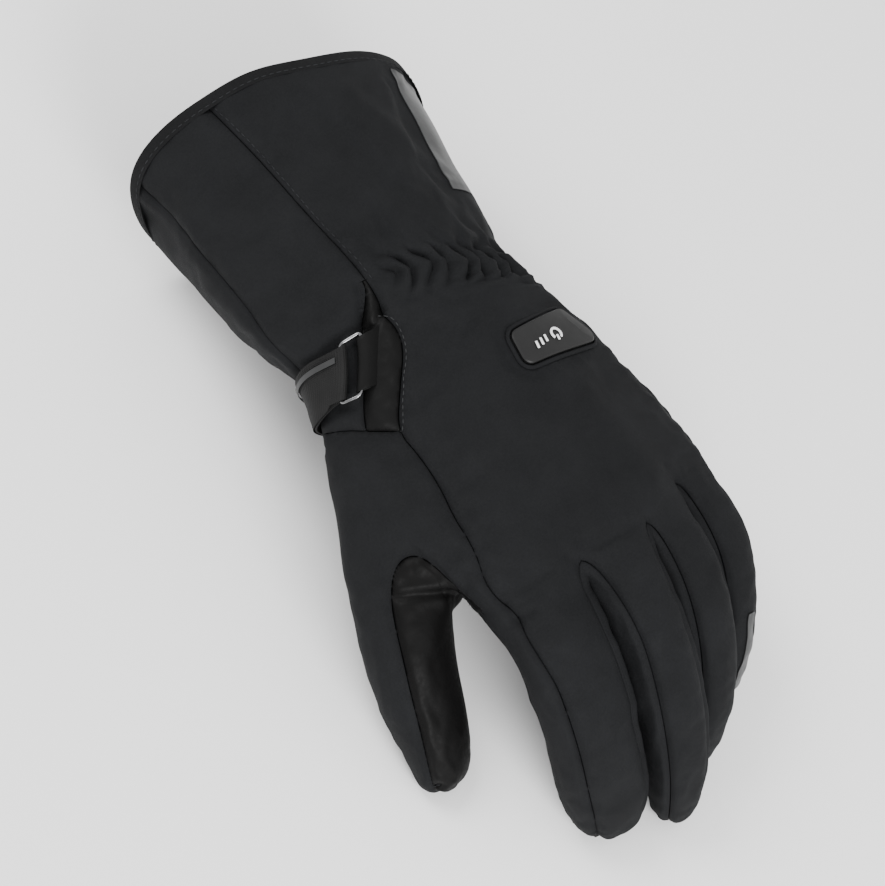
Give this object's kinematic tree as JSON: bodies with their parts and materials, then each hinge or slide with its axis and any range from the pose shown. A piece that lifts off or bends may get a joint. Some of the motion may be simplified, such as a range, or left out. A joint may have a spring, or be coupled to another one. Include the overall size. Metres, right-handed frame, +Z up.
{
  "type": "heated glove",
  "caption": "Left-hand padded gauntlet glove with a control button on the back, a wrist strap and a long flared cuff.",
  "frame": {"origin": "centre of the bounding box at floor level", "axes": "+Z up; the glove lies palm down with its fingers towards +Y, its cuff towards -Y and its thumb towards +X"},
  "size_m": [0.1546, 0.3196, 0.0913],
  "materials": {
    "softshell": "matt charcoal softshell cloth",
    "leather": "soft grained black leather",
    "black_patch": "smooth black coated cloth",
    "elastic_cloth": "gathered charcoal cloth",
    "webbing": "black webbing with a ribbed face",
    "ring_steel": "plated steel wire",
    "button_rubber": "matt black rubber",
    "white_print": "white print",
    "reflective": "grey reflective tape"
  },
  "bodies": {
    "root": {"gauntlet_back": "softshell", "gauntlet_side": "softshell", "gauntlet_palm": "softshell", "wrist_patch": "black_patch", "hand_back": "softshell", "outer_side": "softshell", "thumb_back": "softshell", "thumb_palm": "leather", "palm": "leather", "gusset_index_middle": "softshell", "gusset_middle_ring": "softshell", "gusset_ring_little": "softshell", "elastic_gathers": "elastic_cloth", "cuff_binding": "black_patch", "strap_ring": "ring_steel", "wrist_strap": "webbing", "ring_tab": "black_patch", "strap_reflector": "reflective", "cuff_reflector": "reflective", "finger_reflector": "reflective", "button_pad": "button_rubber", "button_frame": "softshell", "level_bar_1": "white_print", "level_bar_2": "white_print", "level_bar_3": "white_print", "power_circle": "white_print", "power_bar": "white_print"}
  },
  "joints": []
}
